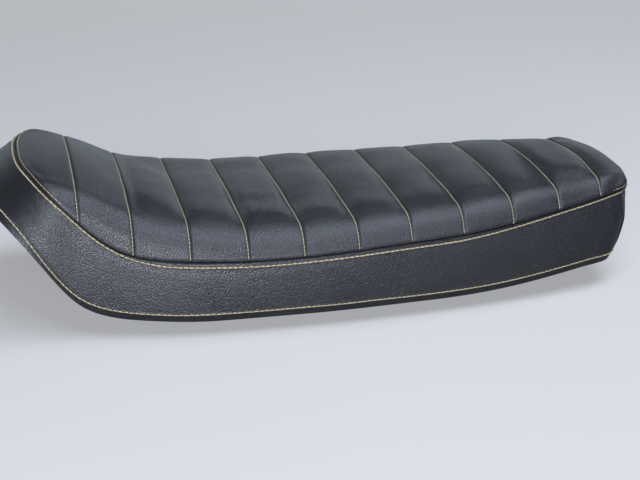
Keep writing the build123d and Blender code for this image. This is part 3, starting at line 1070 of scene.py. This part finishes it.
def weld(start, end):
    """A rippled bead between two points."""
    start, end, out = np.array(start), np.array(end), np.array((0, 0, -1))
    length = np.linalg.norm(end - start)
    run = (end - start) / length
    side = np.cross(run, out)
    steps = max(8, round(length / WELD_STEP))
    around = np.linspace(0, 2 * pi, WELD_SIDES, endpoint=False)
    points = []
    for t in np.linspace(0, 1, steps):
        ripple = 1 + 0.14 * np.abs(np.sin(pi * t * length / RIPPLE_PITCH))
        close = np.sqrt(np.clip(1 - abs(2 * t - 1) ** 8, 0.02, 1))
        radius = WELD_RADIUS * ripple * close
        for a in around:
            points.append(start + run * length * t + radius * (cos(a) * out * 0.75 + sin(a) * side))
    return points, tube_faces(steps, WELD_SIDES)


bar_low, bar_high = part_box("mount_bar")
tongue_low, tongue_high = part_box("front_tongue")
BAR_WELDS = np.array([-62, -21, 21, 62]) * MM      # middles of the welds on each brim
BAR_WELD_HALF = 11 * MM
TONGUE_WELDS = (0.10, 0.34)   # where they start, as shares of the tongue's length
TONGUE_WELD = 16 * MM


def pan_height(x, y):
    """Underside of the pan just beside a point on the tongue's edge."""
    return outer_tree.ray_cast(Vector((x, y * 1.06, -1)), Vector((0, 0, 1)))[0].z


runs = []
for x in (bar_low.x, bar_high.x):
    for y in BAR_WELDS:
        runs.append(((x, y - BAR_WELD_HALF, bar_high.z), (x, y + BAR_WELD_HALF, bar_high.z)))
for y in (tongue_low.y, tongue_high.y):
    for share in TONGUE_WELDS:
        x = tongue_low.x + share * (tongue_high.x - tongue_low.x)
        x_end = x + TONGUE_WELD
        runs.append(((x, y, pan_height(x, y)), (x_end, y, pan_height(x_end, y))))
make_mesh("weld_beads", *merged(weld(*run) for run in runs), bracket_paint)

# Finishes of the parts that keep their solids
FINISHES = {"seat_pan": pan_paint, "mount_bar": bracket_paint, "front_tongue": bracket_paint,
            "weld_nuts": zinc}
for name, node in nodes.items():
    finish = FINISHES.get(name, rubber if name.startswith("buffer") else None)
    if finish:
        node.data.materials.clear()
        node.data.materials.append(finish)
        edge = node.modifiers.new("edge", "BEVEL")
        edge.width = 0.4 * MM
        edge.segments = 2
        edge.limit_method = "ANGLE"
        edge.angle_limit = radians(50)

# Camera at the photograph's place
CAMERA = (-0.2368, -1.2498, 0.5284)
YAW, PITCH, ROLL = 0.2395, 0.3657, -0.0164
forward = Vector((sin(YAW) * cos(PITCH), cos(YAW) * cos(PITCH), -sin(PITCH)))
level = Vector((cos(YAW), -sin(YAW), 0))
below = forward.cross(level)
right = cos(ROLL) * level + sin(ROLL) * below
down = -sin(ROLL) * level + cos(ROLL) * below
camera = bpy.data.objects.new("camera", bpy.data.cameras.new("camera"))
bpy.context.scene.collection.objects.link(camera)
placing = Matrix((right, -down, -forward)).transposed().to_4x4()
placing.translation = CAMERA
camera.matrix_world = placing
camera.data.lens = 78.75
camera.data.sensor_width = 36
camera.data.sensor_fit = "HORIZONTAL"
bpy.context.scene.camera = camera
bpy.context.scene.view_settings.view_transform = "Standard"


# Pale floor that rises into a backdrop, and soft lamps
def studio():
    """The floor and backdrop. Their paper is pale to the camera and dark in the seat's reflections."""
    material = new_material("paper", Specular_IOR_Level=0.1)
    n = Nodes(material)
    n.shader.inputs["Roughness"].default_value = 0.9
    path = n.add("ShaderNodeLightPath")
    level = n.add("ShaderNodeSeparateXYZ")
    n.join(n.mm, level.inputs[0])
    unseen = n.mix(n.span(level.outputs["Z"], 150, 350, 0.0, 1.0), (0.14, 0.14, 0.14), (0.02, 0.02, 0.02))
    seen = n.mix(n.noise(400, 2.0), (0.31, 0.30, 0.29), (0.325, 0.313, 0.302))
    n.join(n.mix(path.outputs["Is Camera Ray"], unseen, seen), n.shader.inputs["Base Color"])
    n.join(n.math("MULTIPLY", path.outputs["Is Camera Ray"], 0.32), n.shader.inputs["Emission Strength"])
    n.shader.inputs["Emission Color"].default_value = (0.9, 0.92, 0.94, 1)
    wide, front, back, radius, high = 6.0, -4.0, 2.2, 0.8, 2.1
    profile = [(front, 0.0)] + [(back + radius * sin(a), radius * (1 - cos(a)))
                                for a in np.linspace(0, pi / 2, 24)] + [(back + radius, high)]
    points = [(x, y, z + bar_low.z) for y, z in profile for x in (-wide, wide)]
    faces = [(2 * i, 2 * i + 1, 2 * i + 3, 2 * i + 2) for i in range(len(profile) - 1)]
    floor = new_object("floor", points, faces)
    floor.data.materials.append(material)
    floor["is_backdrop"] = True


MIDDLE = (0.05, 0.0, 0.08)


def lamp(name, place, size, power, colour):
    """A soft box that faces the middle of the seat."""
    data = bpy.data.lights.new(name, "AREA")
    data.shape = "RECTANGLE"
    data.size, data.size_y = size
    data.energy = power
    data.color = colour
    piece = bpy.data.objects.new(name, data)
    piece.location = place
    piece.rotation_euler = (Vector(MIDDLE) - Vector(place)).to_track_quat("-Z", "Y").to_euler()
    bpy.context.scene.collection.objects.link(piece)


studio()
lamp("sky_box", (0.4, -0.4, 1.75), (2.4, 0.8), 50, (0.75, 0.84, 1.0))
lamp("front_box", (-0.34, -1.9, 0.42), (1.3, 0.6), 56, (0.83, 0.87, 1.0))
lamp("back_box", (0.35, 2.0, 0.28), (3.4, 0.2), 7.8, (0.80, 0.92, 1.0))

# The world is pale to the camera and lights the seat only a little
world = bpy.data.worlds.new("world")
bpy.context.scene.world = world
world.use_nodes = True
tree = world.node_tree
dim = tree.nodes["Background"]
dim.inputs["Color"].default_value = (0.80, 0.86, 0.94, 1)
dim.inputs["Strength"].default_value = 0.04
pale = tree.nodes.new("ShaderNodeBackground")
pale.inputs["Color"].default_value = (0.80, 0.82, 0.84, 1)
path = tree.nodes.new("ShaderNodeLightPath")
either = tree.nodes.new("ShaderNodeMixShader")
tree.links.new(path.outputs["Is Camera Ray"], either.inputs["Fac"])
tree.links.new(dim.outputs[0], either.inputs[1])
tree.links.new(pale.outputs[0], either.inputs[2])
tree.links.new(either.outputs[0], tree.nodes["World Output"].inputs["Surface"])

low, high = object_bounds()
